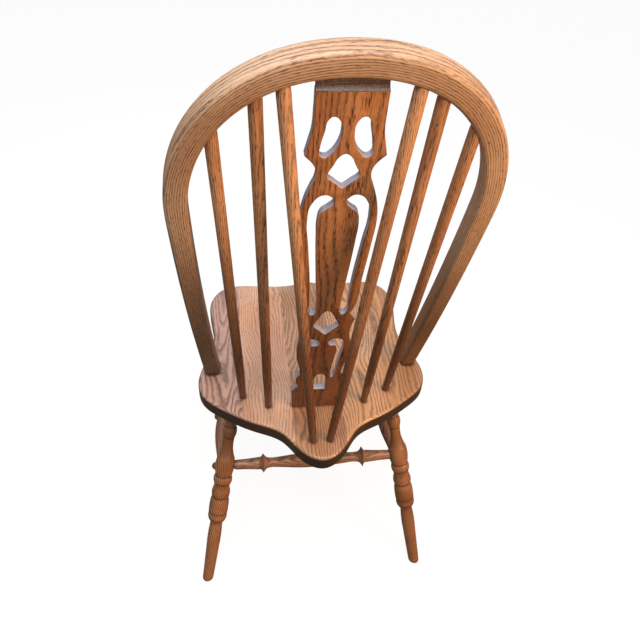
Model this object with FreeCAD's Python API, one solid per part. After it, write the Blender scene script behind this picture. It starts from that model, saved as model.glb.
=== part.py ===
# A bow-back side chair in oak with a pierced splat and two brace spindles.
# +Z is up and the sitter faces -Y. The origin lies on the floor, under the
# middle of the chair's box. Lengths are in millimetres, angles in degrees.
# While the pieces are made, Y = 0 is where the back face of the bow meets the
# top of the seat; the last step moves them all onto the origin.
import FreeCAD, Part
import math
import os

from FreeCAD import Vector

# Fits
glue_gap = 0.1            # all round a glued tenon
socket_spare = 1.5        # left below the end of a tenon

# Seat: a blank of edge-glued boards
seat_height = 445.0       # floor to the top of the seat
seat_thickness = 31.0
seat_front = 267.0        # bow line to the middle of the front edge
seat_tail = 212.0         # bow line to the end of the tail
seat_half_width = 220.5   # at the lobes that carry the bow
seat_waist = 193.0        # half width between the lobes and the front corners
seat_front_half = 200.0   # half width at the front corners
seat_tail_half = 36.0     # half width of the tail, near its end
board_width = 92.0        # each of the three middle boards
edge_round_top = 7.0
edge_round_under = 5.0
dish_depth = 9.0          # the saddle, at its deepest
dish_half_width = 168.0
dish_half_length = 122.0
dish_middle = 118.0       # from the bow line forwards

# Bow: one bent rod, in a plane that leans back
bow_rake = 16.5
bow_rise = 708.0          # seat to the bow's centre line at the top, along the bow
bow_shoulder = 463.0      # seat to its widest place, along the bow
bow_half_width = 209.4    # centre line, at its widest
bow_fullness = 2.18       # of the crown: 2 is an ellipse, and more is squarer
bow_foot_half = 193.4     # centre line, where it meets the seat
bow_width_top = 33.2      # across the rod in the bow's plane
bow_depth_top = 30.2      # front to back
bow_width_foot = 28.1
bow_depth_foot = 33.2
bow_corner = 8.0
crown_steps = 8           # points in each half of the crown's curve
bow_tenon_radius = 11.0
bow_tenon_length = 22.0

# Back spindles and braces
outer_spindle_foot = (136.5, 60.0)   # half spacing and distance behind the bow line
inner_spindle_foot = (90.0, 85.5)
brace_foot = (15.0, 171.0)
outer_spindle_head = 157.5           # half spacing where each meets the bow
inner_spindle_head = 106.0
brace_head = 77.5
spindle_head_radius = 8.6
spindle_waist_radius = 7.9
spindle_foot_radius = 6.3
spindle_swell_height = 130.0         # above the seat, where the foot taper ends
spindle_tenon_radius = 7.4           # in the bow
spindle_tenon_length = 15.0
spindle_neck = 12.0                  # taper from the head to the tenon
spindle_socket_depth = 22.0          # in the seat

# Splat
splat_rake = 8.2
splat_foot_back = 92.0    # bow line to the back face at the seat
splat_thickness = 12.0
splat_tongue = 6.0        # thickness of the tongue at each end
splat_top_gap = 19.2      # from the end of its full thickness to the bow
splat_drawn_height = 655.0  # full thickness that the pattern is drawn for
splat_bevel = 6.0
splat_tongue_in_bow = 12.0
splat_tenon_depth = 15.0
splat_tenon_inset = 7.0
splat_foot_half = 47.0
splat_top_half = 41.2

# Legs: half spacing and distance behind the bow line, at the seat and floor
back_leg_top = (152.7, 38.5)
back_leg_floor = (230.7, 192.4)
front_leg_top = (150.0, -178.0)
front_leg_floor = (208.0, -246.0)
leg_tenon_radius = 11.0
leg_tenon_length = 22.0
leg_neck_radius = 12.0
leg_cap_radius = 13.8
leg_swell_radius = 19.4
leg_ring_radius = 19.2
leg_barrel_radius = 19.8
leg_ankle_radius = 12.8
leg_foot_radius = 11.5
cap_centre = 73.0         # distances from the seat's underside, along the leg
swell_centre = 158.0
ring_one_centre = 187.0
ring_two_centre = 220.0
barrel_start = 239.0
foot_ring_centre = 283.0
ankle = 303.0

# Stretchers
end_stretcher_height = 270.0   # front and rear ones
side_stretcher_height = 195.0
stretcher_end_radius = 9.8
stretcher_flare_radius = 12.6
stretcher_bead_radius = 20.2
stretcher_thin_radius = 9.6
stretcher_swell_radius = 15.0
side_swell_radius = 17.0
stretcher_bead_from_leg = 78.0
stretcher_tenon_radius = 8.0
stretcher_tenon_depth = 12.0   # into the leg, measured from the leg's surface


seat_under = seat_height - seat_thickness
lean = math.radians(bow_rake)
bow_up = Vector(0, math.sin(lean), math.cos(lean))
bow_back = Vector(0, math.cos(lean), -math.sin(lean))
bow_middle = -bow_depth_top / 2
splat_lean = math.radians(splat_rake)
splat_up = Vector(0, math.sin(splat_lean), math.cos(splat_lean))


def mirrored(shape):
    """The same shape on the other side of the chair."""
    return shape.mirror(Vector(0, 0, 0), Vector(1, 0, 0))


def rod(start, end, radius):
    """A plain round rod between two points."""
    along = end - start
    return Part.makeCylinder(radius, along.Length, start, along)


def turned(start, end, stations):
    """A turned piece. Each station is (distance, radius, bulge): the profile runs
    to the next station as a line, or as an arc that stands out by bulge."""
    edges = [Part.makeLine(Vector(0, 0, stations[0][0]), Vector(stations[0][1], 0, stations[0][0]))]
    for (z0, r0, bulge), (z1, r1, _) in zip(stations, stations[1:]):
        low = Vector(r0, 0, z0)
        high = Vector(r1, 0, z1)
        if bulge == 0:
            edges.append(Part.makeLine(low, high))
            continue
        chord = high - low
        outward = Vector(chord.z, 0, -chord.x).normalize()
        middle = (low + high) * 0.5 + outward * bulge
        edges.append(Part.Arc(low, middle, high).toShape())
    last = stations[-1]
    edges.append(Part.makeLine(Vector(last[1], 0, last[0]), Vector(0, 0, last[0])))
    edges.append(Part.makeLine(Vector(0, 0, last[0]), Vector(0, 0, stations[0][0])))
    solid = Part.makeSolid(Part.Face(Part.Wire(edges)).revolve(Vector(0, 0, 0), Vector(0, 0, 1), 360))
    turn = FreeCAD.Rotation(Vector(0, 0, 1), end - start)
    solid.Placement = FreeCAD.Placement(start, turn)
    return solid


def smooth(points, closed=False):
    """A smooth curve through points given as (x, y)."""
    curve = Part.BSplineCurve()
    curve.interpolate([Vector(x, y, 0) for x, y in points], PeriodicFlag=closed)
    return curve.toShape()


def line(a, b):
    return Part.makeLine(Vector(a[0], a[1], 0), Vector(b[0], b[1], 0))


# Seat

def seat_outline():
    """Half of the seat's edge from the front middle to the tail, then its mirror."""
    half = [
        (0, -seat_front),
        (62, -seat_front + 8),
        (116, -seat_front + 3),
        (seat_front_half - 32, -seat_front + 10),
        (seat_front_half - 2, -seat_front + 53),
        (seat_front_half, -seat_front + 88),
        (seat_waist, -88),
        (seat_waist + 21, -20),
        (seat_half_width, 12),
        (seat_half_width - 9, 54),
        (seat_half_width - 45, 88),
        (116, 124),
        (71, 148),
        (seat_tail_half, seat_tail - 19),
        (0, seat_tail),
    ]
    other = [(-x, y) for x, y in reversed(half[1:-1])]
    return Part.Wire([smooth(half + other, closed=True)])


def seat_blank():
    face = Part.Face(seat_outline())
    blank = face.extrude(Vector(0, 0, seat_thickness))
    blank.translate(Vector(0, 0, seat_under))
    top = [e for e in blank.Edges if e.BoundBox.ZMin > seat_height - 0.1]
    under = [e for e in blank.Edges if e.BoundBox.ZMax < seat_under + 0.1]
    blank = blank.makeFillet(edge_round_top, top)
    under = [e for e in blank.Edges if e.BoundBox.ZMax < seat_under + 0.1]
    return blank.makeFillet(edge_round_under, under)


def dish():
    """The hollow of the saddle: the low cap of a flattened ball."""
    ball = Part.makeSphere(1.0)
    rise = 4 * dish_depth
    reach = 1 / math.sqrt(1 - ((rise - dish_depth) / rise) ** 2)
    stretch = FreeCAD.Matrix()
    stretch.scale(dish_half_width * reach, dish_half_length * reach, rise)
    ball = ball.transformGeometry(stretch)
    ball.translate(Vector(0, -dish_middle, seat_height + rise - dish_depth))
    return ball


def seat_boards(blank):
    """Cuts the blank into its boards, from the sitter's right to the left."""
    edge = board_width / 2
    cuts = [-seat_half_width - 10, -edge - board_width, -edge, edge, edge + board_width]
    ends = cuts[1:] + [seat_half_width + 10]
    boards = []
    for left, right in zip(cuts, ends):
        slab = Part.makeBox(right - left, 2 * (seat_front + seat_tail), 2 * seat_thickness)
        slab.translate(Vector(left, -seat_front - seat_tail, seat_under - seat_thickness / 2))
        boards.append(blank.common(slab))
    return boards


# Bow

def bow_point(x, along, back=0.0):
    """A point by its place in the bow's plane and its distance behind the
    back face of the bow, which is negative inside the rod."""
    return Vector(x, 0, seat_height) + bow_up * along + bow_back * back


def bow_along(x):
    """Height along the bow of the crown's centre line, at half spacing x."""
    crown = (1 - (x / bow_half_width) ** bow_fullness) ** (1 / bow_fullness)
    return bow_shoulder + (bow_rise - bow_shoulder) * crown


def bow_spine():
    """Centre line: a full crown over two long flat arcs."""
    turn = FreeCAD.Rotation(Vector(1, 0, 0), 90 - bow_rake)
    place = FreeCAD.Placement(bow_point(0, 0, bow_middle), turn)
    start_drop = 40.0
    sag = bow_half_width - bow_foot_half
    radius = (sag ** 2 + bow_shoulder ** 2) / (2 * sag)

    def side(sign, along):
        inward = radius - math.sqrt(radius ** 2 - (bow_shoulder - along) ** 2)
        return Vector(sign * (bow_half_width - inward), along, 0)

    right = Part.Arc(side(1, -start_drop), side(1, bow_shoulder / 2), side(1, bow_shoulder))
    left = Part.Arc(side(-1, bow_shoulder), side(-1, bow_shoulder / 2), side(-1, -start_drop))
    quarter = []
    for step in range(crown_steps + 1):
        turn_by = math.pi / 2 * step / crown_steps
        x = bow_half_width * max(math.cos(turn_by), 0) ** (2 / bow_fullness)
        quarter.append((x, bow_shoulder + (bow_rise - bow_shoulder) * math.sin(turn_by) ** (2 / bow_fullness)))
    crown = Part.BSplineCurve()
    crown.interpolate([Vector(x, along, 0) for x, along in quarter],
                      InitialTangent=Vector(0, 1, 0), FinalTangent=Vector(-1, 0, 0))
    flip = FreeCAD.Matrix()
    flip.scale(-1, 1, 1)
    other = crown.toShape().transformGeometry(flip)
    pieces = [right.toShape(), crown.toShape(), other]
    pieces.append(left.toShape())
    wire = Part.Wire(pieces)
    wire.Placement = place
    return wire


def rounded_section(centre, across, width, depth, corner):
    """A rectangle with rounded corners: width lies along the direction across,
    depth along the bow's back direction."""
    w = width / 2
    d = depth / 2
    k = corner * (1 - math.sqrt(0.5))

    def at(u, v):
        return centre + across * u + bow_back * v

    corners = [(1, 1), (-1, 1), (-1, -1), (1, -1)]
    edges = []
    for i, (a, b) in enumerate(corners):
        first = (a * w, b * (d - corner)) if i % 2 == 0 else (a * (w - corner), b * d)
        second = (a * (w - corner), b * d) if i % 2 == 0 else (a * w, b * (d - corner))
        arc = Part.Arc(at(*first), at(a * (w - k), b * (d - k)), at(*second))
        edges.append((first, second, arc.toShape()))
    wire = []
    for i, (first, second, arc) in enumerate(edges):
        following = edges[(i + 1) % 4][0]
        wire.append(arc)
        wire.append(Part.makeLine(at(*second), at(*following)))
    return Part.Wire(wire)


def bow_foot_ray():
    """Where the centre line meets the seat's top, and its direction there."""
    sag = bow_half_width - bow_foot_half
    radius = (sag ** 2 + bow_shoulder ** 2) / (2 * sag)
    slope = bow_shoulder / (radius - sag)
    direction = (bow_up + Vector(slope, 0, 0)).normalize()
    start = bow_point(bow_foot_half, 0, bow_middle)
    drop = (start.z - seat_height) / direction.z
    return start - direction * drop, direction


def bow_rod():
    spine = bow_spine()
    ends = spine.OrderedVertexes
    shell = Part.BRepOffsetAPI.MakePipeShell(spine)
    shell.setBiNormalMode(bow_back)
    first = spine.OrderedEdges[0]
    last = spine.OrderedEdges[-1]
    top = bow_point(0, bow_rise, bow_middle)
    sides = []
    for edge, vertex in ((first, ends[0]), (last, ends[-1])):
        if (edge.valueAt(edge.FirstParameter) - vertex.Point).Length < 0.01:
            tangent = edge.tangentAt(edge.FirstParameter)
        else:
            tangent = edge.tangentAt(edge.LastParameter)
        across = tangent.cross(bow_back).normalize()
        sides.append(rounded_section(vertex.Point, across, bow_width_foot, bow_depth_foot, bow_corner))
    crown = rounded_section(top, bow_up, bow_width_top, bow_depth_top, bow_corner)
    shell.add(sides[0], False, False)
    shell.add(crown, False, False)
    shell.add(sides[1], False, False)
    shell.build()
    shell.makeSolid()
    return shell.shape()


def bow_with_tenons():
    body = bow_rod()
    if body.Volume < 0:
        body = body.reversed()
    below = Part.makeBox(1000, 1000, 200, Vector(-500, -500, seat_height - 200))
    body = body.cut(below)
    foot, direction = bow_foot_ray()
    tenon = rod(foot - direction * bow_tenon_length, foot + direction * 10, bow_tenon_radius)
    return body.fuse([tenon, mirrored(tenon)])


def bow_sockets():
    foot, direction = bow_foot_ray()
    reach = bow_tenon_length + socket_spare
    hole = rod(foot - direction * reach, foot + direction * 10, bow_tenon_radius + glue_gap)
    return [hole, mirrored(hole)]


# Spindles

def spindle_line(foot, head_half):
    """The point on the seat and the point on the bow's centre line."""
    start = Vector(foot[0], foot[1], seat_height)
    return start, bow_point(head_half, bow_along(head_half), bow_middle)


def spindle(foot, head_half):
    start, head = spindle_line(foot, head_half)
    along = (head - start).normalize()
    length = (head - start).Length
    sunk = spindle_socket_depth / along.z
    begin = start - along * sunk
    tenon_end = sunk + length
    tenon_start = tenon_end - spindle_tenon_length
    stations = [
        (0, spindle_foot_radius, 0),
        (sunk, spindle_foot_radius, 0.4),
        (sunk + spindle_swell_height, spindle_waist_radius, 0),
        (tenon_start - spindle_neck, spindle_head_radius, 0.3),
        (tenon_start, spindle_tenon_radius, 0),
        (tenon_end, spindle_tenon_radius, 0),
    ]
    return turned(begin, head, stations)


def spindle_sockets(foot, head_half):
    start, head = spindle_line(foot, head_half)
    along = (head - start).normalize()
    sunk = spindle_socket_depth / along.z + socket_spare
    low = rod(start - along * sunk, start + along * 15, spindle_foot_radius + glue_gap)
    tail = head + along * socket_spare
    high = rod(head - along * (spindle_tenon_length + 20), tail, spindle_tenon_radius + glue_gap)
    return low, high


# Splat

def placed_on_splat(shape, front=0.0):
    """Puts a shape drawn in XY, with Y up the splat, behind its back face;
    front moves it forwards."""
    turn = FreeCAD.Rotation(Vector(1, 0, 0), 90 - splat_rake)
    forwards = Vector(0, -math.cos(splat_lean), math.sin(splat_lean))
    base = Vector(0, splat_foot_back, seat_height) + forwards * front
    shape.Placement = FreeCAD.Placement(base, turn)
    return shape


def splat_reach():
    """Height on the splat at which it comes to the underside of the bow."""
    under_bow = bow_point(0, bow_rise - bow_width_top / 2, bow_middle)
    return (under_bow - Vector(0, splat_foot_back, seat_height)).dot(splat_up)


def splat_full_height():
    return splat_reach() - splat_top_gap


def stretched(points):
    """Points of the drawn pattern, fitted to the height of this splat."""
    fit = splat_full_height() / splat_drawn_height
    return [(x, along * fit) for x, along in points]


def straight(a, b):
    return line(*stretched([a, b]))


def curved(points):
    return smooth(stretched(points))


def splat_edge():
    """Outline of the splat: its right side in runs, and their mirror images."""
    top = splat_drawn_height
    runs = [
        straight((0, 0), (splat_foot_half, 0)),
        straight((splat_foot_half, 0), (49, 54)),
        straight((49, 54), (38.5, 71)),
        curved([(38.5, 71), (42.6, 83), (41.5, 97), (36, 108)]),
        curved([(36, 108), (37.5, 124), (43, 156), (43.8, 190), (39.2, 222)]),
        curved([(39.2, 222), (40.5, 240), (44.8, 257)]),
        straight((44.8, 257), (35, 273)),
        curved([(35, 273), (40, 284), (43.6, 306), (45, 348), (49.5, 420), (51, 473),
                (46, 503), (40.2, 521), (35.2, 535), (34.4, 547), (37.6, 556), (49.4, 570)]),
        curved([(49.4, 570), (45.2, 589), (42.2, 604), (41.3, 630), (splat_top_half, top)]),
        straight((splat_top_half, top), (0, top)),
    ]
    flip = FreeCAD.Matrix()
    flip.scale(-1, 1, 1)
    other = [edge.transformGeometry(flip) for edge in runs]
    return Part.Wire(Part.__sortEdges__(runs + other))


def closed_curve(points):
    return Part.Wire([smooth(stretched(points), closed=True)])


def splat_holes():
    """The saw-cut openings. Those off the centre line come in pairs."""
    eye = [(18, 622.5), (10, 616), (7.6, 600), (11, 584), (18, 572), (25.5, 567),
           (31.5, 571), (31.3, 582), (27, 604), (24, 618)]
    long_slot = [(21.8, 509.6), (10, 504), (8, 497), (14, 489), (24, 480), (27.6, 462),
                 (27, 434), (25, 395), (21.5, 340), (18.6, 290), (20, 274), (24, 271),
                 (28.5, 275), (29.4, 300), (31.4, 350), (37, 420), (40.8, 470), (36, 496)]
    comma = [(20, 208), (10, 203), (6.8, 197), (11, 190), (19, 189), (22.2, 180),
             (20, 150), (17.3, 118), (17.4, 100), (20.5, 95), (24, 102), (26.4, 130),
             (30.8, 163), (32.8, 188), (29, 204)]
    kite = [(0, 572), (7, 568), (14, 554), (20.4, 541), (16, 532), (8, 527), (0, 519.5)]
    heart = [(0, 279.5), (5, 276), (13, 261), (20, 245), (15, 233), (7, 227), (0, 220)]
    wires = []
    for points in (eye, long_slot, comma):
        wires.append(closed_curve(points))
        wires.append(closed_curve([(-x, y) for x, y in points]))
    for points in (kite, heart):
        wires.append(closed_curve(points + [(-x, y) for x, y in reversed(points[1:-1])]))
    spring_right, crown, spring_left = stretched([(10.4, 88), (0, 105.5), (-10.4, 88)])
    arch = [straight((-10.8, 57), (10.8, 57)), straight((10.8, 57), (10.4, 88)),
            Part.Arc(Vector(*spring_right), Vector(*crown), Vector(*spring_left)).toShape(),
            straight((-10.4, 88), (-10.8, 57))]
    wires.append(Part.Wire(arch))
    return wires


def tongue(low, high, half, thickness, front):
    """A flat tongue between two heights on the splat."""
    block = Part.makeBox(2 * half, high - low, thickness, Vector(-half, low, 0))
    return placed_on_splat(block, front)


def splat_board():
    blank = Part.Face(splat_edge()).extrude(Vector(0, 0, splat_thickness))
    for wire in splat_holes():
        blank = blank.cut(Part.Face(wire).extrude(Vector(0, 0, splat_thickness)))
    blank = placed_on_splat(blank)
    back_step = splat_thickness - splat_tongue
    full = splat_full_height()
    profile = [(full, splat_thickness), (full, 0), (full + splat_bevel, back_step),
               (full + splat_bevel, splat_thickness)]
    corners = [Vector(-splat_top_half, along, front) for along, front in profile + profile[:1]]
    bevel = Part.Face(Part.makePolygon(corners)).extrude(Vector(2 * splat_top_half, 0, 0))
    bevel = placed_on_splat(bevel)
    top = tongue(full, splat_reach() + splat_tongue_in_bow, splat_top_half,
                 splat_tongue, back_step)
    foot_half = splat_foot_half - splat_tenon_inset
    foot = tongue(-splat_tenon_depth, 5, foot_half, splat_tongue, back_step / 2)
    board = blank.fuse([bevel, top, foot]).removeSplitter()
    below = Part.makeBox(400, 400, 200, Vector(-200, -100, seat_height - 200))
    shoulders = below.cut(splat_mortise(0))
    return board.cut(shoulders)


def splat_mortise(gap):
    """The slot in the seat, gap wider than the tenon all round."""
    foot_half = splat_foot_half - splat_tenon_inset
    back_step = splat_thickness - splat_tongue
    return tongue(-splat_tenon_depth - (socket_spare if gap else 20), 30, foot_half + gap,
                  splat_tongue + 2 * gap, back_step / 2 - gap)


def splat_groove():
    back_step = splat_thickness - splat_tongue
    end = splat_reach() + splat_tongue_in_bow + socket_spare
    return tongue(splat_full_height() - 5, end, splat_top_half + glue_gap,
                  splat_tongue + 2 * glue_gap, back_step - glue_gap)


# Legs

def leg_ends(top, floor):
    return Vector(top[0], top[1], seat_under), Vector(floor[0], floor[1], 0)


def leg_at(top, floor, height):
    """The point on a leg's axis at a height above the floor."""
    upper, lower = leg_ends(top, floor)
    return upper + (lower - upper) * ((seat_under - height) / seat_under)


def leg(top, floor):
    """A turned leg: neck, cap bead, long vase with its swell, two rings,
    barrel, foot ring and tapered foot, cut level at the floor."""
    upper, lower = leg_ends(top, floor)
    along = (lower - upper).normalize()
    length = (lower - upper).Length
    spare = 12.0
    start = upper - along * (leg_tenon_length + 4)
    base = leg_tenon_length + 4
    half_cap = 13.0
    half_ring = 11.0
    stations = [
        (4, leg_tenon_radius, 0),
        (base - 6, leg_tenon_radius, 0),
        (base - 6, leg_neck_radius + 2.5, 0),
        (base + 14, leg_neck_radius + 2.5, -1.2),
        (base + cap_centre - half_cap, leg_neck_radius - 0.6, 2.6),
        (base + cap_centre + half_cap, leg_neck_radius - 1.2, 0),
        (base + cap_centre + half_cap + 12, leg_neck_radius - 1.6, -2.0),
        (base + swell_centre - 22, leg_swell_radius - 1.8, 2.2),
        (base + swell_centre + 18, leg_swell_radius - 2.8, 0),
        (base + ring_one_centre - half_ring + 1, leg_ring_radius - 2.6, 2.4),
        (base + ring_one_centre + half_ring - 1, leg_ring_radius - 2.6, -0.8),
        (base + ring_two_centre - half_ring, leg_ring_radius - 2.6, 2.0),
        (base + ring_two_centre + half_ring, leg_ring_radius - 2.4, 0),
        (base + barrel_start, leg_barrel_radius - 0.8, 0.8),
        (base + foot_ring_centre - 8, leg_barrel_radius - 0.8, 1.4),
        (base + foot_ring_centre + 6, leg_ring_radius - 2.6, -1.6),
        (base + ankle, leg_ankle_radius, 0.9),
        (base + ankle + 55, leg_ankle_radius + 0.8, 0),
        (base + length + spare, leg_foot_radius - 0.4, 0),
    ]
    body = turned(start, lower, stations)
    keep = Part.makeBox(1200, 1200, seat_under, Vector(-600, -600, 0))
    column = rod(upper - along * leg_tenon_length, upper + along * 30, leg_tenon_radius)
    return body.common(keep).fuse(column).removeSplitter()


def leg_socket(top, floor):
    upper, lower = leg_ends(top, floor)
    along = (lower - upper).normalize()
    reach = leg_tenon_length + socket_spare
    return rod(upper - along * reach, upper + along * 20, leg_tenon_radius + glue_gap)


# Stretchers

def stretcher(start, end, start_inset, end_inset, swell):
    """A turned stretcher between two leg axes. Each inset is the distance from
    the axis at which its tenon stops."""
    along = (end - start).normalize()
    span = (end - start).Length
    first = start + along * start_inset
    length = span - start_inset - end_inset
    bead_one = stretcher_bead_from_leg - start_inset
    bead_two = length - (stretcher_bead_from_leg - end_inset)
    middle = (bead_one + bead_two) / 2
    shoulder_one = stretcher_tenon_depth + 1.5
    shoulder_two = length - stretcher_tenon_depth - 1.5
    stations = [
        (0, stretcher_tenon_radius, 0),
        (shoulder_one, stretcher_tenon_radius, 0),
        (shoulder_one, stretcher_end_radius, -0.6),
        (bead_one - 9, stretcher_flare_radius, 0),
        (bead_one - 7, stretcher_flare_radius - 0.6, -1.2),
        (bead_one, stretcher_bead_radius, -1.0),
        (bead_one + 8, stretcher_flare_radius - 1.6, -0.3),
        (bead_one + 20, stretcher_thin_radius, 0),
        ((bead_one + middle) / 2, (stretcher_thin_radius + swell) / 2, 0.8),
        (middle, swell, 0.8),
        ((middle + bead_two) / 2, (stretcher_thin_radius + swell) / 2, 0),
        (bead_two - 20, stretcher_thin_radius, -0.3),
        (bead_two - 8, stretcher_flare_radius - 1.6, -1.0),
        (bead_two, stretcher_bead_radius, -1.2),
        (bead_two + 7, stretcher_flare_radius - 0.6, 0),
        (bead_two + 9, stretcher_flare_radius, -0.6),
        (shoulder_two, stretcher_end_radius, 0),
        (shoulder_two, stretcher_tenon_radius, 0),
        (length, stretcher_tenon_radius, 0),
    ]
    return turned(first, end, stations)


def stretcher_hole(leg_point, towards, inset):
    """The socket in a leg for a stretcher that comes from the other point."""
    along = (towards - leg_point).normalize()
    start = leg_point + along * (inset - socket_spare)
    return rod(start, leg_point + along * 40, stretcher_tenon_radius + glue_gap)


def main():
    os.makedirs("parts", exist_ok=True)
    nodes = {}
    legs = {
        "back_leg_left": (back_leg_top, back_leg_floor, 1),
        "back_leg_right": (back_leg_top, back_leg_floor, -1),
        "front_leg_left": (front_leg_top, front_leg_floor, 1),
        "front_leg_right": (front_leg_top, front_leg_floor, -1),
    }
    spindles = {
        "outer_spindle": (outer_spindle_foot, outer_spindle_head),
        "inner_spindle": (inner_spindle_foot, inner_spindle_head),
        "brace_spindle": (brace_foot, brace_head),
    }

    bow_holes = [splat_groove()]
    seat_holes = [splat_mortise(glue_gap)] + bow_sockets()
    for name, (foot, head_half) in spindles.items():
        piece = spindle(foot, head_half)
        low, high = spindle_sockets(foot, head_half)
        nodes[name + "_left"] = piece
        nodes[name + "_right"] = mirrored(piece)
        seat_holes += [low, mirrored(low)]
        bow_holes += [high, mirrored(high)]

    swell_inset = leg_swell_radius - stretcher_tenon_depth
    barrel_inset = leg_ring_radius - stretcher_tenon_depth
    links = {
        "rear_stretcher": ("back_leg_left", "back_leg_right", end_stretcher_height, swell_inset,
                           stretcher_swell_radius),
        "front_stretcher": ("front_leg_left", "front_leg_right", end_stretcher_height, swell_inset,
                            stretcher_swell_radius),
        "side_stretcher_left": ("back_leg_left", "front_leg_left", side_stretcher_height,
                                barrel_inset, side_swell_radius),
        "side_stretcher_right": ("back_leg_right", "front_leg_right", side_stretcher_height,
                                 barrel_inset, side_swell_radius),
    }
    leg_holes = {name: [] for name in legs}

    def axis_point(name, height):
        top, floor, sign = legs[name]
        point = leg_at(top, floor, height)
        return Vector(sign * point.x, point.y, point.z)

    for name, (one, two, height, inset, swell) in links.items():
        start = axis_point(one, height)
        end = axis_point(two, height)
        nodes[name] = stretcher(start, end, inset, inset, swell)
        leg_holes[one].append(stretcher_hole(start, end, inset))
        leg_holes[two].append(stretcher_hole(end, start, inset))

    for name, (top, floor, sign) in legs.items():
        piece = leg(top, floor)
        socket = leg_socket(top, floor)
        if sign < 0:
            piece = mirrored(piece)
            socket = mirrored(socket)
        nodes[name] = piece.cut(leg_holes[name])
        seat_holes.append(socket)

    nodes["bow"] = bow_with_tenons().cut(bow_holes)
    nodes["splat"] = splat_board()
    seat = seat_blank().cut(dish()).cut(seat_holes)
    for number, board in enumerate(seat_boards(seat), start=1):
        nodes["seat_board_%d" % number] = board

    box = Part.makeCompound(list(nodes.values())).optimalBoundingBox(False)
    shift = Vector(-box.Center.x, -box.Center.y, -box.ZMin)
    for name, shape in nodes.items():
        shape.translate(shift)
        shape.exportStep("parts/%s.step" % name)


main()
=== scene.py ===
# A bow-back side chair in stained oak, dressed piece by piece in the order in
# which it is put together. Lengths are in metres.
import math

import bmesh
import bpy
from mathutils import Matrix, Vector


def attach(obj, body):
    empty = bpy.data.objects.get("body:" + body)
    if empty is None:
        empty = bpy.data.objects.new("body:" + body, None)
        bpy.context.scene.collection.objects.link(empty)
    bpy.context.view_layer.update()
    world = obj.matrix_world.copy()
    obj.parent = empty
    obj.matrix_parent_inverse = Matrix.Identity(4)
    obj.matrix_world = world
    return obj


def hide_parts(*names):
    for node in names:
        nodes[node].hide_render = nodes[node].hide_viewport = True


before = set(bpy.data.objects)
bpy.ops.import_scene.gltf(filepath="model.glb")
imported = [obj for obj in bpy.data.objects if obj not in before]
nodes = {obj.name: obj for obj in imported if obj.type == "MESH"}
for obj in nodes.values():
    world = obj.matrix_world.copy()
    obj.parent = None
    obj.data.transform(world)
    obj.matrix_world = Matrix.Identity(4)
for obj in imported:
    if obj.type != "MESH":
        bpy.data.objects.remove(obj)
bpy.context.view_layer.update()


# Seat: five flat-sawn oak boards, edge-glued, then sawn to shape and dished.
# The grain runs from front to back, and each board shows its own figure.

def srgb(code):
    """Linear colour of a hex code."""
    parts = [int(code[i:i + 2], 16) / 255 for i in (1, 3, 5)]
    linear = [c / 12.92 if c <= 0.04045 else ((c + 0.055) / 1.055) ** 2.4 for c in parts]
    return (*linear, 1.0)


def add(tree, kind, inputs=None, stops=(), **settings):
    """Adds a node, sets it, and gives its sockets their values or links. A node
    given for a socket is linked by its first output. stops are a ramp's greys."""
    made = tree.nodes.new(kind)
    for name, value in settings.items():
        setattr(made, name, value)
    for socket, value in (inputs or {}).items():
        if isinstance(value, bpy.types.Node):
            value = value.outputs[0]
        if isinstance(value, bpy.types.NodeSocket):
            tree.links.new(value, made.inputs[socket])
        else:
            made.inputs[socket].default_value = value
    if stops:
        points = made.color_ramp.elements
        while len(points) < len(stops):
            points.new(0.5)
        for point, (place, grey) in zip(points, stops):
            point.position = place
            point.color = (grey, grey, grey, 1)
    return made


shade_and_filler = "#1E120B"             # painted shade in corners, and painted shade with dark filler in the grooves
shade_reach = 0.007           # how far from a corner the painted shade reaches
groove_half = 0.0026        # half the width of a groove cut in turning
shaded_from = 0.98          # height at which the painted shade towards the seat starts
shaded_to = 0.56            # and at which it is darkest


def painted_side_shade(tree, colour, stain):
    """Paints shade, in the colour given as stain, on the upright sides of a piece; the faces above and below
    are left as they are.
    """
    facing = add(tree, "ShaderNodeNewGeometry").outputs["Normal"]
    upright = add(tree, "ShaderNodeSeparateXYZ", {0: facing}).outputs["Z"]
    flatness = add(tree, "ShaderNodeMath", {0: upright}, operation="ABSOLUTE")
    side = add(tree, "ShaderNodeValToRGB", {"Fac": flatness}, stops=[(0.30, 1.0), (0.80, 0.0)])
    side_shade_share = add(tree, "ShaderNodeMath", {0: side, 1: 0.95}, operation="MULTIPLY")
    return add(tree, "ShaderNodeMix", {0: side_shade_share, 6: colour, 7: srgb(stain)}, data_type="RGBA",
               blend_type="MULTIPLY").outputs[2]


def painted_corner_shade(tree, colour):
    """Paints shade within shade_reach of a corner, as ambient occlusion finds it."""
    hidden = add(tree, "ShaderNodeAmbientOcclusion", {"Distance": shade_reach}, samples=8).outputs["AO"]
    corner = add(tree, "ShaderNodeValToRGB", {"Fac": hidden}, stops=[(0.45, 0.80), (0.92, 0.0)])
    return add(tree, "ShaderNodeMix", {0: corner, 6: colour, 7: srgb(shade_and_filler)}, data_type="RGBA").outputs[2]


def painted_low_shade(tree, colour, shade):
    """Paints shade on the back of the chair, deepening towards the seat."""
    where = add(tree, "ShaderNodeTexCoord").outputs["Object"]
    height = add(tree, "ShaderNodeSeparateXYZ", {0: where}).outputs["Z"]
    low = add(tree, "ShaderNodeMapRange", {0: height, 1: shaded_to, 2: shaded_from, 3: 1.0, 4: 0.0},
              interpolation_type="SMOOTHSTEP")
    return add(tree, "ShaderNodeMix", {0: low, 6: colour, 7: srgb(shade)}, data_type="RGBA",
               blend_type="MULTIPLY").outputs[2]


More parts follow.
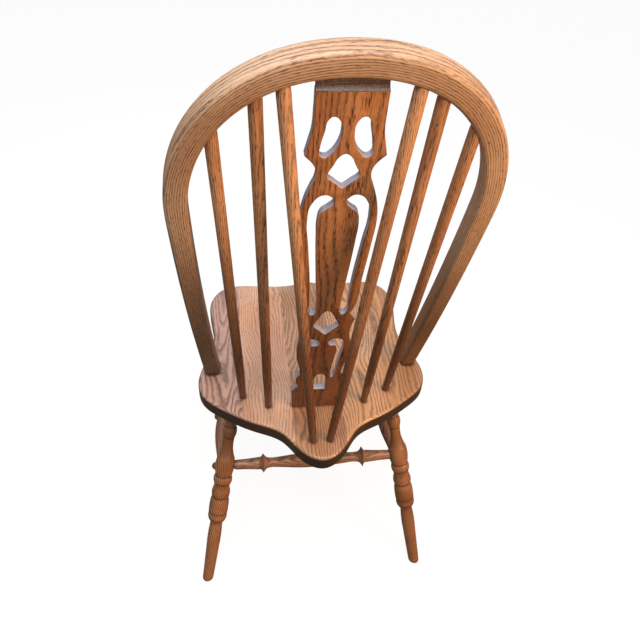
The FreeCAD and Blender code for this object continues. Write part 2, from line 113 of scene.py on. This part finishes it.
def turned_grooves(tree, place, top, foot, grooves):
    """How far into a groove each place of a turned piece is: 1 at its bottom and
    0 from its edges on. The grooves are distances from the piece's top."""
    along = (Vector(foot) - Vector(top)).normalized()
    from_top = add(tree, "ShaderNodeVectorMath", {0: place, 1: top}, operation="SUBTRACT")
    down = add(tree, "ShaderNodeVectorMath", {0: from_top, 1: along},
               operation="DOT_PRODUCT").outputs["Value"]
    cut = 0.0
    for groove in grooves:
        offset = add(tree, "ShaderNodeMath", {0: down, 1: groove}, operation="SUBTRACT")
        away = add(tree, "ShaderNodeMath", {0: offset}, operation="ABSOLUTE")
        notch = add(tree, "ShaderNodeMath", {0: away, 1: -1 / groove_half, 2: 1.0}, operation="MULTIPLY_ADD")
        cut = add(tree, "ShaderNodeMath", {0: cut, 1: notch}, operation="MAXIMUM")
    return cut


def oak(name, light, mid, line, pore, turn=(0, 0, 0), move=(0, 0, 0), ring=0.0045, lines=0.6,
        sway=0.006, pore_size=(0.0007, 0.014), pores=0.6, attribute=None, roughness=0.42,
        side_shade=None, shade=None, corner_shade=False, turning=None):
    """Stained oak under a satin lacquer: growth rings about a pith that lies
    along local Z, open pores crowded in each ring's early wood, and slow
    changes of tone. lines and pores say how strongly those two show.
    side_shade is the colour of a painted shade on upright sides, shade that of
    a painted shade that deepens towards the seat, and corner_shade paints shade
    into corners. turning is a turned piece's top, its foot, and the distances
    from the top at which a groove is cut and painted dark with shade and filler."""
    material = bpy.data.materials.new(name)
    material.use_nodes = True
    tree = material.node_tree
    tree.nodes.clear()
    if attribute:
        place = add(tree, "ShaderNodeAttribute", attribute_name=attribute).outputs["Vector"]
    else:
        place = add(tree, "ShaderNodeTexCoord").outputs["Object"]
    log = add(tree, "ShaderNodeMapping", {"Vector": place, "Rotation": turn, "Location": move})

    # The trunk was never quite straight: the rings sway, in waves of about 70 mm
    # across and 220 mm along the piece.
    slow = add(tree, "ShaderNodeMapping", {"Vector": log, "Scale": (14, 14, 4.5)})
    bend = add(tree, "ShaderNodeTexNoise", {"Vector": slow, "Scale": 1.0, "Detail": 2.0})
    centred = add(tree, "ShaderNodeVectorMath", {0: bend.outputs["Color"], 1: (0.5, 0.5, 0.5)},
                  operation="SUBTRACT")
    shift = add(tree, "ShaderNodeVectorMath", {0: centred, 1: (sway * 4, sway * 4, 0)}, operation="MULTIPLY")
    grown = add(tree, "ShaderNodeVectorMath", {0: log, 1: shift}, operation="ADD")

    # 20 units of the wave texture make one turn of the sine, so this is one ring.
    rings = add(tree, "ShaderNodeTexWave",
                {"Vector": grown, "Scale": 2 * math.pi / 20 / ring, "Distortion": 1.6,
                 "Detail": 3.0, "Detail Scale": 1.2, "Detail Roughness": 0.6},
                wave_type="RINGS", rings_direction="Z", wave_profile="SAW").outputs["Fac"]
    early = add(tree, "ShaderNodeValToRGB", {"Fac": rings},
                stops=[(0.0, 0.25), (0.10, 1.0), (0.30, 0.75), (0.62, 0.0), (0.92, 0.0), (1.0, 0.25)])

    # Open pores: dark dashes along the grain, most of them in the early wood.
    wide, long = pore_size
    drawn_out = add(tree, "ShaderNodeMapping", {"Vector": grown, "Scale": (1 / wide, 1 / wide, 1 / long)})
    vessel = add(tree, "ShaderNodeTexNoise",
                 {"Vector": drawn_out, "Scale": 1.0, "Detail": 1.0, "Roughness": 0.4}).outputs["Fac"]
    crowded = add(tree, "ShaderNodeMath", {0: early, 1: 0.16, 2: vessel}, operation="MULTIPLY_ADD")
    open_pores = add(tree, "ShaderNodeValToRGB", {"Fac": crowded}, stops=[(0.62, 0.0), (0.72, 1.0)])

    # Fibres, 1 mm apart, are drawn coarser than the real ones so that they show.
    thin = add(tree, "ShaderNodeMapping", {"Vector": grown, "Scale": (900, 900, 12)})
    fibre = add(tree, "ShaderNodeTexNoise",
                {"Vector": thin, "Scale": 1.0, "Detail": 3.0, "Roughness": 0.6}).outputs["Fac"]
    broken = add(tree, "ShaderNodeValToRGB", {"Fac": fibre}, stops=[(0.36, 0.25), (0.64, 1.0)])

    # The stain takes unevenly, in patches of about 60 mm across and 200 mm along.
    broad = add(tree, "ShaderNodeMapping", {"Vector": log, "Scale": (16, 16, 5)})
    patch = add(tree, "ShaderNodeTexNoise", {"Vector": broad, "Scale": 1.0, "Detail": 2.0}).outputs["Fac"]
    soft = add(tree, "ShaderNodeValToRGB", {"Fac": patch}, stops=[(0.36, 0.0), (0.64, 1.0)])
    ground = add(tree, "ShaderNodeMix", {0: soft, 6: srgb(light), 7: srgb(mid)}, data_type="RGBA").outputs[2]

    split = add(tree, "ShaderNodeMath", {0: early, 1: broken}, operation="MULTIPLY")
    drawn = add(tree, "ShaderNodeMath", {0: split, 1: lines}, operation="MULTIPLY")
    lined = add(tree, "ShaderNodeMix", {0: drawn, 6: ground, 7: srgb(line)}, data_type="RGBA").outputs[2]
    filled = add(tree, "ShaderNodeMath", {0: open_pores, 1: pores}, operation="MULTIPLY")
    colour = add(tree, "ShaderNodeMix", {0: filled, 6: lined, 7: srgb(pore)}, data_type="RGBA").outputs[2]

    # Painted shade on the upright sides of a piece.
    if side_shade:
        colour = painted_side_shade(tree, colour, side_shade)
    # Painted shade in corners, where the light is blocked.
    if corner_shade:
        colour = painted_corner_shade(tree, colour)
    # Painted shade, deepening towards the seat.
    if shade:
        colour = painted_low_shade(tree, colour, shade)
    cut = 0.0
    # Painted shade, with the dark filler, in the grooves between the rings.
    if turning:
        cut = turned_grooves(tree, place, *turning)
        dark = add(tree, "ShaderNodeMath", {0: cut, 1: 0.75}, operation="MULTIPLY")
        colour = add(tree, "ShaderNodeMix", {0: dark, 6: colour, 7: srgb(shade_and_filler)}, data_type="RGBA").outputs[2]

    # Pores and grooves break the gloss of the lacquer and are felt under a finger.
    sheen = add(tree, "ShaderNodeValToRGB", {"Fac": open_pores},
                stops=[(0.0, roughness), (1.0, roughness + 0.25)])
    sunk = add(tree, "ShaderNodeMath", {0: open_pores, 1: -1.0}, operation="MULTIPLY")
    carved = add(tree, "ShaderNodeMath", {0: cut, 1: -3.0, 2: sunk}, operation="MULTIPLY_ADD")
    relief = add(tree, "ShaderNodeMath", {0: fibre, 1: 0.3, 2: carved}, operation="MULTIPLY_ADD")
    bump = add(tree, "ShaderNodeBump", {"Height": relief, "Strength": 0.25, "Distance": 0.0003})
    shader = add(tree, "ShaderNodeBsdfPrincipled",
                 {"Base Color": colour, "Roughness": sheen, "Normal": bump,
                  "IOR": 1.45, "Coat Weight": 0.10, "Coat Roughness": 0.3, "Coat IOR": 1.5})
    add(tree, "ShaderNodeOutputMaterial", {"Surface": shader})
    return material


def finish_node(name, material):
    """Gives a solid from the frame its real finish."""
    piece = nodes[name]
    piece.data.materials.clear()
    piece.data.materials.append(material)


quarter_turn = math.radians(90)
seat_top = 0.445
seat_pore = "#5B4034"
# Painted shade for the seat's upright sides.
seat_side_shade = "#33241B"
# For each board: its middle, the pith's offset across and depth below the seat,
# how far the pith is out of level, the ground, darker ground and ring colours,
# and how strongly the rings show.
boards = [
    (-0.170, 0.020, 0.060, 2.2, "#BC8B60", "#A2734E", "#543628", 0.9),
    (-0.092, 0.004, 0.046, 2.6, "#CB9A6E", "#B5845C", "#5A3A2B", 0.9),
    (0.000, 0.060, 0.050, 0.5, "#B88B68", "#9F7252", "#4E3224", 0.95),
    (0.092, -0.075, 0.045, 0.7, "#CE9E7C", "#B98668", "#74503E", 0.6),
    (0.170, 0.004, 0.050, 2.0, "#BF937F", "#A67A68", "#4C332C", 1.0),
]
for number, (middle, across, below, tilt, light, mid, line, strength) in enumerate(boards, start=1):
    board = oak("flat-sawn oak, satin stain, seat board %d" % number, light, mid, line, seat_pore,
                turn=(quarter_turn + math.radians(tilt), 0, 0),
                move=(-middle - across, seat_top - below, 0.3 * number),
                ring=0.0046, lines=strength, sway=0.011, pore_size=(0.0009, 0.022), pores=0.45,
                roughness=0.30, side_shade=seat_side_shade, corner_shade=True)
    finish_node("seat_board_%d" % number, board)


# Legs: turned from square oak, with a cap bead, a long swell, two rings, a
# barrel and a tapered foot, and glued up into the seat. The grooves between
# the rings are painted dark, with painted shade as well as their dark filler,
# and the figure lies differently in each leg.
leg_tops = {"back_leg": (0.1527, 0.06743, 0.414), "front_leg": (0.1500, -0.14907, 0.414)}
leg_feet = {"back_leg": (0.2307, 0.22133, 0.0), "front_leg": (0.2080, -0.21707, 0.0)}
leg_grooves = (0.060, 0.086, 0.1765, 0.1935, 0.2285, 0.267, 0.284)
leg_tones = ("#AE7248", "#8A5632", "#43281A", "#1C0F08")
for number, kind in enumerate(("back_leg", "front_leg")):
    for side_number, (side, sign) in enumerate((("left", 1), ("right", -1))):
        top, foot = [(sign * x, y, z) for x, y, z in (leg_tops[kind], leg_feet[kind])]
        leg_oak = oak("turned oak, dark satin stain, %s %s" % (kind.replace("_", " "), side), *leg_tones,
                      turn=(math.radians(20 - 30 * number), math.radians(10 - 20 * side_number), 0),
                      move=(0.03 * number + 0.10, 0.05, 0.3 * number), ring=0.0036, lines=0.95,
                      sway=0.006, pore_size=(0.0010, 0.012), pores=0.8, roughness=0.30, corner_shade=True,
                      turning=(top, foot, leg_grooves))
        finish_node("%s_%s" % (kind, side), leg_oak)


# Stretchers: turned oak with a sharp bead near each end, glued between the legs.
# The grain runs along each, so the pith is turned to lie across or from front
# to back.
rail_tones = ("#9E7054", "#855A42", "#54341F", "#26150C")
rails = {
    "rear_stretcher": ((0, quarter_turn, 0), (0.33, 0.05, 0)),
    "front_stretcher": ((0, quarter_turn, 0.4), (0.33, 0.05, 0.1)),
    "side_stretcher_left": ((quarter_turn, 0, 0), (0.10, 0.24, 0)),
    "side_stretcher_right": ((quarter_turn, 0, 0), (0.10, 0.24, 0.15)),
}
for kind, (turn, move) in rails.items():
    rail = oak("turned oak, satin stain, %s" % kind.replace("_", " "), *rail_tones, turn=turn, move=move,
               ring=0.0036, lines=0.9, sway=0.005, pore_size=(0.0009, 0.012), pores=0.7,
               roughness=0.32, corner_shade=True)
    finish_node(kind, rail)


# Bow: one square length of straight-grained oak, steamed, bent round a form and
# sanded to soft corners. Its ends are glued into the seat, and the grain
# follows the bend all the way round.
bow_line = 0.02893          # where the bow's back face would meet the seat
bow_lean = math.radians(16.5)
bow_foot = 0.1934           # half spacing of the bow's centre line at the seat
bow_half = 0.2094           # and at the widest place, bow_shoulder along it
bow_shoulder = 0.463
bow_rise = 0.708
bow_fullness = 2.18         # 2 would bend the crown to an ellipse
bow_foot_size = (0.0281, 0.0332)
bow_crown_size = (0.0332, 0.0302)
bow_middle_size = 0.031     # the corner is drawn on a unit square and grows with it
bow_corner = 0.0068
bow_sunk = 0.006            # hidden in the seat
crown_parts = 72
side_parts = 34


def bow_stations():
    """Centre line of half the bow, in its own plane, from the seat to the crown."""
    sag = bow_half - bow_foot
    radius = (sag ** 2 + bow_shoulder ** 2) / (2 * sag)
    line = []
    for i in range(side_parts):
        along = -bow_sunk + (bow_shoulder + bow_sunk) * i / side_parts
        line.append((bow_half - radius + math.sqrt(radius ** 2 - (bow_shoulder - along) ** 2), along))
    for i in range(crown_parts + 1):
        angle = math.pi / 2 * i / crown_parts
        x = bow_half * max(math.cos(angle), 0) ** (2 / bow_fullness)
        line.append((x, bow_shoulder + (bow_rise - bow_shoulder) * math.sin(angle) ** (2 / bow_fullness)))
    return line


half = bow_stations()
spine = [Vector((x, 0, along)) for x, along in half] + [Vector((-x, 0, along)) for x, along in half[-2::-1]]
reach = [0.0]
for before, after in zip(spine, spine[1:]):
    reach.append(reach[-1] + (after - before).length)
plane = (Matrix.Translation((0, bow_line, seat_top)) @ Matrix.Rotation(-bow_lean, 4, "X") @
         Matrix.Translation((0, -bow_crown_size[1] / 2, 0)))


def bow_place(i):
    """Matrix that takes the unit section, drawn in XY, to station i, and its size."""
    along = (spine[min(i + 1, len(spine) - 1)] - spine[max(i - 1, 0)]).normalized()
    back = Vector((0, 1, 0))
    part = 1 - abs(2 * reach[i] / reach[-1] - 1)
    wide, deep = [low + (high - low) * part for low, high in zip(bow_foot_size, bow_crown_size)]
    turn = Matrix((back.cross(along), back, along)).transposed().to_4x4()
    return plane @ Matrix.Translation(spine[i]) @ turn @ Matrix.Diagonal((wide, deep, 1, 1)), wide, deep


def new_piece(name, bm, *materials):
    """Makes an object of a finished bmesh that rides with the chair."""
    data = bpy.data.meshes.new(name)
    bm.to_mesh(data)
    bm.free()
    for material in materials:
        data.materials.append(material)
    data.shade_smooth()
    piece = bpy.data.objects.new(name, data)
    bpy.context.scene.collection.objects.link(piece)
    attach(piece, "root")
    return piece


# The section is pushed along the spine, and each point keeps its place in the
# straight stave, as the pattern of the grain needs it.
bm = bmesh.new()
grain = bm.verts.layers.float_vector.new("grain")
bmesh.ops.create_grid(bm, x_segments=1, y_segments=1, size=0.5)
bmesh.ops.bevel(bm, geom=bm.verts[:], offset=bow_corner / bow_middle_size, segments=6, profile=0.5,
                affect="VERTICES", material=-1)
bm.faces.ensure_lookup_table()
face = bm.faces[0]
place, wide, deep = bow_place(0)
for v in bm.verts:
    v[grain] = Vector((v.co.x * wide, v.co.y * deep, 0))
bmesh.ops.transform(bm, matrix=place, verts=bm.verts[:])
for i in range(1, len(spine)):
    old = face
    made = bmesh.ops.extrude_face_region(bm, geom=[face])["geom"]
    face = [g for g in made if isinstance(g, bmesh.types.BMFace)][0]
    if i > 1:
        bmesh.ops.delete(bm, geom=[old], context="FACES_ONLY")
    unplace = place.inverted()
    place, wide, deep = bow_place(i)
    for v in face.verts:
        section = unplace @ v.co
        v.co = place @ section
        v[grain] = Vector((section.x * wide, section.y * deep, reach[i]))
bmesh.ops.recalc_face_normals(bm, faces=bm.faces[:])
bow_oak = oak("steam-bent oak, satin stain", "#C9A383", "#B28868", "#64452F", "#3A2618",
              move=(0.060, 0.030, 0.0), ring=0.0025, lines=0.9, sway=0.003, pore_size=(0.0008, 0.009),
              pores=0.6, attribute="grain", shade="#A6967F")
bow = new_piece("bent_bow", bm, bow_oak)
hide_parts("bow")


# Splat: a flat oak board, sawn to a fiddle outline and pierced, with its edges
# eased by hand. Its foot is a tenon in the seat, and its top is bevelled down
# to a thin tongue that goes up into the bow.
splat_lean = math.radians(8.2)
splat_back = 0.092          # from the bow line to its back face at the seat
splat_thick = 0.012
splat_tongue = 0.006
splat_full = 0.65402        # height of the full thickness
splat_drawn = 0.655         # height that the pattern is drawn for
splat_bevel = 0.006
splat_reach = 0.6732        # to the underside of the bow
splat_hidden = 0.006        # how far the tongue goes on into the bow
splat_top_half = 0.0412
ease = 0.0011               # radius on all the edges
lap = 0.002                 # how far the top goes down into the board
back_skin = 0.0002          # how far its back lies inside the board's back face there
front_skin = 0.0003         # and its front inside the front face, all the way up
weld = 0.00001              # points of the drawing nearer than this are one
wall_facing = 0.3           # a sawn wall looks forward or back less than this
crisp = math.radians(35)    # an edge that turns more than this isn't smoothed
splat_place = (Matrix.Translation((0, bow_line + splat_back, seat_top)) @
               Matrix.Rotation(quarter_turn - splat_lean, 4, "X"))

# Half outline in millimetres from the foot to the top, and how it turns at each
# point: c is a corner and s is smooth.
outline = [(47, -4, "c"), (47, 0, "s"), (49, 54, "c"), (38.5, 71, "c"), (42.6, 83, "s"), (41.5, 97, "s"),
           (36, 108, "c"), (37.5, 124, "s"), (43, 156, "s"), (43.8, 190, "s"), (39.2, 222, "c"),
           (40.5, 240, "s"), (44.8, 257, "c"), (35, 273, "c"), (40, 284, "s"), (43.6, 306, "s"),
           (45, 348, "s"), (49.5, 420, "s"), (51, 473, "s"), (46, 503, "s"), (40.2, 521, "s"),
           (35.2, 535, "s"), (34.4, 547, "s"), (37.6, 556, "s"), (49.4, 570, "c"), (45.2, 589, "s"),
           (42.2, 604, "s"), (41.3, 630, "s"), (41.2, 655, "c")]
eye = [(18, 622.5), (10, 616), (7.6, 600), (11, 584), (18, 572), (25.5, 567), (31.5, 571), (31.3, 582),
       (27, 604), (24, 618)]
long_slot = [(21.8, 509.6), (10, 504), (8, 497), (14, 489), (24, 480), (27.6, 462), (27, 434), (25, 395),
             (21.5, 340), (18.6, 290), (20, 274), (24, 271), (28.5, 275), (29.4, 300), (31.4, 350),
             (37, 420), (40.8, 470), (36, 496)]
comma = [(20, 208), (10, 203), (6.8, 197), (11, 190), (19, 189), (22.2, 180), (20, 150), (17.3, 118),
         (17.4, 100), (20.5, 95), (24, 102), (26.4, 130), (30.8, 163), (32.8, 188), (29, 204)]
kite = [(0, 572), (7, 568), (13.5, 555.5), (19, 544.5), (20.5, 540), (18.4, 536.2), (10.5, 529.4),
        (2.6, 522.4), (0, 521)]
heart = [(0, 279.5), (5, 276), (13, 261), (18.8, 248.5), (20.2, 244), (18.2, 239.8), (10.2, 231.4),
         (2.6, 222.8), (0, 221.2)]
arch = [(10.8, 57, "c"), (10.4, 88, "s"), (7.6, 100, "s"), (0, 105.5, "s"), (-7.6, 100, "s"),
        (-10.4, 88, "s"), (-10.8, 57, "c")]


def mirrored(points):
    """The other half of an outline, in the order that goes on from the first."""
    return [(-p[0], *p[1:]) for p in reversed(points)]


loops = [outline + mirrored(outline), arch]
for pair in (eye, long_slot, comma):
    loops += [pair, mirrored(pair)]
for middle in (kite, heart):
    loops.append(middle + mirrored(middle[1:-1]))

drawing = bpy.data.curves.new("splat_drawing", "CURVE")
drawing.dimensions = "2D"
drawing.fill_mode = "BOTH"
drawing.resolution_u = 8
drawing.extrude = splat_thick / 2 - ease
drawing.bevel_depth = ease
drawing.bevel_resolution = 2
drawing.offset = -ease
for loop in loops:
    curve = drawing.splines.new("BEZIER")
    curve.use_cyclic_u = True
    curve.bezier_points.add(len(loop) - 1)
    for point, (x, along, *how) in zip(curve.bezier_points, loop):
        point.co = (x / 1000, along / 1000 * splat_full / splat_drawn, 0)
        kind = "VECTOR" if how == ["c"] else "AUTO"
        point.handle_left_type = kind
        point.handle_right_type = kind
sawn = bpy.data.objects.new("splat_drawing", drawing)
bpy.context.scene.collection.objects.link(sawn)
board_mesh = bpy.data.meshes.new_from_object(sawn)
bpy.data.objects.remove(sawn)

bm = bmesh.new()
bm.from_mesh(board_mesh)
bpy.data.meshes.remove(board_mesh)
bmesh.ops.translate(bm, vec=(0, 0, splat_thick / 2), verts=bm.verts[:])
bmesh.ops.remove_doubles(bm, verts=bm.verts[:], dist=weld)
# The bevelled shoulder at the back of the top, and the tongue above it.
step = splat_thick - splat_tongue
front = splat_thick - front_skin
profile = [(splat_full - lap, front), (splat_full - lap, back_skin), (splat_full, back_skin),
           (splat_full + splat_bevel, step), (splat_reach + splat_hidden, step),
           (splat_reach + splat_hidden, front)]
side = [bm.verts.new((-splat_top_half + ease / 2, along, depth)) for along, depth in profile]
end = bm.faces.new(side)
made = bmesh.ops.extrude_face_region(bm, geom=[end])["geom"]
bmesh.ops.translate(bm, vec=(2 * splat_top_half - ease, 0, 0),
                    verts=[g for g in made if isinstance(g, bmesh.types.BMVert)])
bmesh.ops.transform(bm, matrix=splat_place, verts=bm.verts[:])
bmesh.ops.recalc_face_normals(bm, faces=bm.faces[:])
splat_oak = oak("flat-sawn oak, dark satin stain", "#B87A4C", "#9C6238", "#5A341C", "#1E0F08",
                turn=(splat_lean, 0, 0), move=(0.02, -0.16, 0), ring=0.0030, lines=0.6, sway=0.003,
                pore_size=(0.0007, 0.014), pores=0.95, shade="#A89A8C")
# The sawn walls of the outline and the piercings are end grain for the most
# part, sanded and sealed; their grey-lavender tone is a painted reflection of
# the pale sky.
walls_painted_reflection = oak("sealed end grain of the splat, painted sky reflection", "#A79FA8", "#958E98", "#7E7680", "#5E565E",
            turn=(splat_lean, 0, 0), move=(0.02, -0.16, 0), ring=0.0040, lines=0.4,
            pore_size=(0.0008, 0.004), pores=0.3, roughness=0.35)
# Painted shade where the bow overhangs the bevel, with pale painted glints in place of dark pores.
shoulder_painted_shade = oak("rough-sawn bevel, painted shade and glints", "#6B5349", "#57423A", "#3A2A24", "#A39C9C",
               turn=(0, quarter_turn, 0), ring=0.0030, lines=0.5, pore_size=(0.0009, 0.0015),
               pores=0.5, roughness=0.3)
outward = (splat_place.to_3x3() @ Vector((0, 0, 1))).normalized()
unplace = splat_place.inverted()
for face in bm.faces:
    if (unplace @ face.calc_center_median()).y > splat_full - lap / 2:
        face.material_index = 2
    elif abs(face.normal.dot(outward)) < wall_facing:
        face.material_index = 1
splat = new_piece("pierced_splat", bm, splat_oak, walls_painted_reflection, shoulder_painted_shade)
splat.data.set_sharp_from_angle(angle=crisp)
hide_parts("splat")


# Spindles: turned oak rods, thinner at the seat, let into holes in seat and bow.
# Each is split from its own billet, so the figure starts at a different place.
spindle_tones = ("#C48C62", "#A8714A", "#603A22", "#28150A")
spindle_leans = {"outer": 8, "inner": 9, "brace": 1}
for number, (kind, lean) in enumerate(spindle_leans.items()):
    for side_number, side in enumerate(("left", "right")):
        rod = oak("turned oak, satin stain, %s spindle %s" % (kind, side), *spindle_tones,
                  turn=(math.radians(lean), 0, 0.7 * number),
                  move=(0.11 * side_number + 0.05, -0.07 * number - 0.05, 0.2 * number), ring=0.0027,
                  lines=0.55, sway=0.004, pore_size=(0.0008, 0.012), pores=0.75, shade="#96836F")
        finish_node("%s_spindle_%s" % (kind, side), rod)


# Studio: a plain floor of white paper, white to the camera and dim to the chair,
# as the ground is outdoors, under a pale sky. A lamp stands overhead, a warm one
# low on one side, and a weak one fills in the front.
floor_half = 6.0
paper_seen = "#FFFBF6"
paper_felt = "#6B6258"
paper_glow = 0.88           # share of the paper's white that needs no light
sky_tint = (0.86, 0.93, 1.0, 1)
sky_low, sky_high = 0.12, 1.1

bm = bmesh.new()
bmesh.ops.create_grid(bm, x_segments=1, y_segments=1, size=floor_half)
floor_mesh = bpy.data.meshes.new("floor")
bm.to_mesh(floor_mesh)
bm.free()
floor = bpy.data.objects.new("floor", floor_mesh)
bpy.context.scene.collection.objects.link(floor)

paper = bpy.data.materials.new("matt white paper")
paper.use_nodes = True
tree = paper.node_tree
tree.nodes.clear()
seen = add(tree, "ShaderNodeLightPath").outputs["Is Camera Ray"]
tone = add(tree, "ShaderNodeMix", {0: seen, 6: srgb(paper_felt), 7: srgb(paper_seen)},
           data_type="RGBA").outputs[2]
matt = add(tree, "ShaderNodeBsdfDiffuse", {"Color": tone})
bright = add(tree, "ShaderNodeEmission", {"Color": (1, 1, 1, 1), "Strength": 1.0})
glow = add(tree, "ShaderNodeMath", {0: seen, 1: paper_glow}, operation="MULTIPLY")
add(tree, "ShaderNodeOutputMaterial",
    {"Surface": add(tree, "ShaderNodeMixShader", {0: glow, 1: matt, 2: bright})})
floor.data.materials.append(paper)

world = bpy.data.worlds.new("studio")
bpy.context.scene.world = world
world.use_nodes = True
tree = world.node_tree
tree.nodes.clear()
aim = add(tree, "ShaderNodeTexCoord").outputs["Generated"]
upward = add(tree, "ShaderNodeSeparateXYZ", {0: aim}).outputs["Z"]
level = add(tree, "ShaderNodeMapRange", {0: upward, 1: -0.1, 2: 1.0, 3: sky_low, 4: sky_high})
sky = add(tree, "ShaderNodeBackground", {"Color": sky_tint, "Strength": level})
backdrop = add(tree, "ShaderNodeBackground", {"Color": (1, 1, 1, 1), "Strength": 1.0})
seen = add(tree, "ShaderNodeLightPath").outputs["Is Camera Ray"]
add(tree, "ShaderNodeOutputWorld",
    {"Surface": add(tree, "ShaderNodeMixShader", {0: seen, 1: sky, 2: backdrop})})

# Each lamp's place, the point it shines at, its size, watts and colour.
lamps = {
    "overhead": ((0.15, 0.75, 2.2), (0, 0, 0.6), 1.2, 24, (1, 1, 1)),
    "front fill": ((0.4, -1.9, 1.5), (0, 0, 0.7), 1.5, 9, (1, 1, 1)),
    "warm side": ((-1.15, 1.0, 1.15), (-0.2, 0.1, 0.75), 0.6, 23, (1.0, 0.57, 0.22)),
}
for name, (place, target, size, watts, tint) in lamps.items():
    light = bpy.data.lights.new(name, "AREA")
    light.shape = "DISK"
    light.size = size
    light.energy = watts
    light.color = tint
    lamp = bpy.data.objects.new(name, light)
    bpy.context.scene.collection.objects.link(lamp)
    lamp.location = place
    lamp.rotation_euler = (Vector(target) - Vector(place)).to_track_quat("-Z", "Y").to_euler()


# Camera: where the photograph was taken from, found from the chair's landmarks:
# from behind, above and a little to one side, held slightly askew.
yaw, pitch, roll = -0.159147, 0.755724, 0.067048
stand = Vector((0.12542, 0.87268, 1.38327))
forward = Vector((math.sin(yaw) * math.cos(pitch), -math.cos(yaw) * math.cos(pitch), -math.sin(pitch)))
beside = Vector((-math.cos(yaw), -math.sin(yaw), 0))
over = beside.cross(forward)
right = math.cos(roll) * beside + math.sin(roll) * over
up = math.cos(roll) * over - math.sin(roll) * beside
camera_data = bpy.data.cameras.new("camera")
camera_data.sensor_width = 36
camera_data.lens = 36
camera = bpy.data.objects.new("camera", camera_data)
camera.matrix_world = Matrix.Translation(stand) @ Matrix((right, up, -forward)).transposed().to_4x4()
bpy.context.scene.collection.objects.link(camera)
bpy.context.scene.camera = camera
bpy.context.scene.view_settings.view_transform = "Standard"
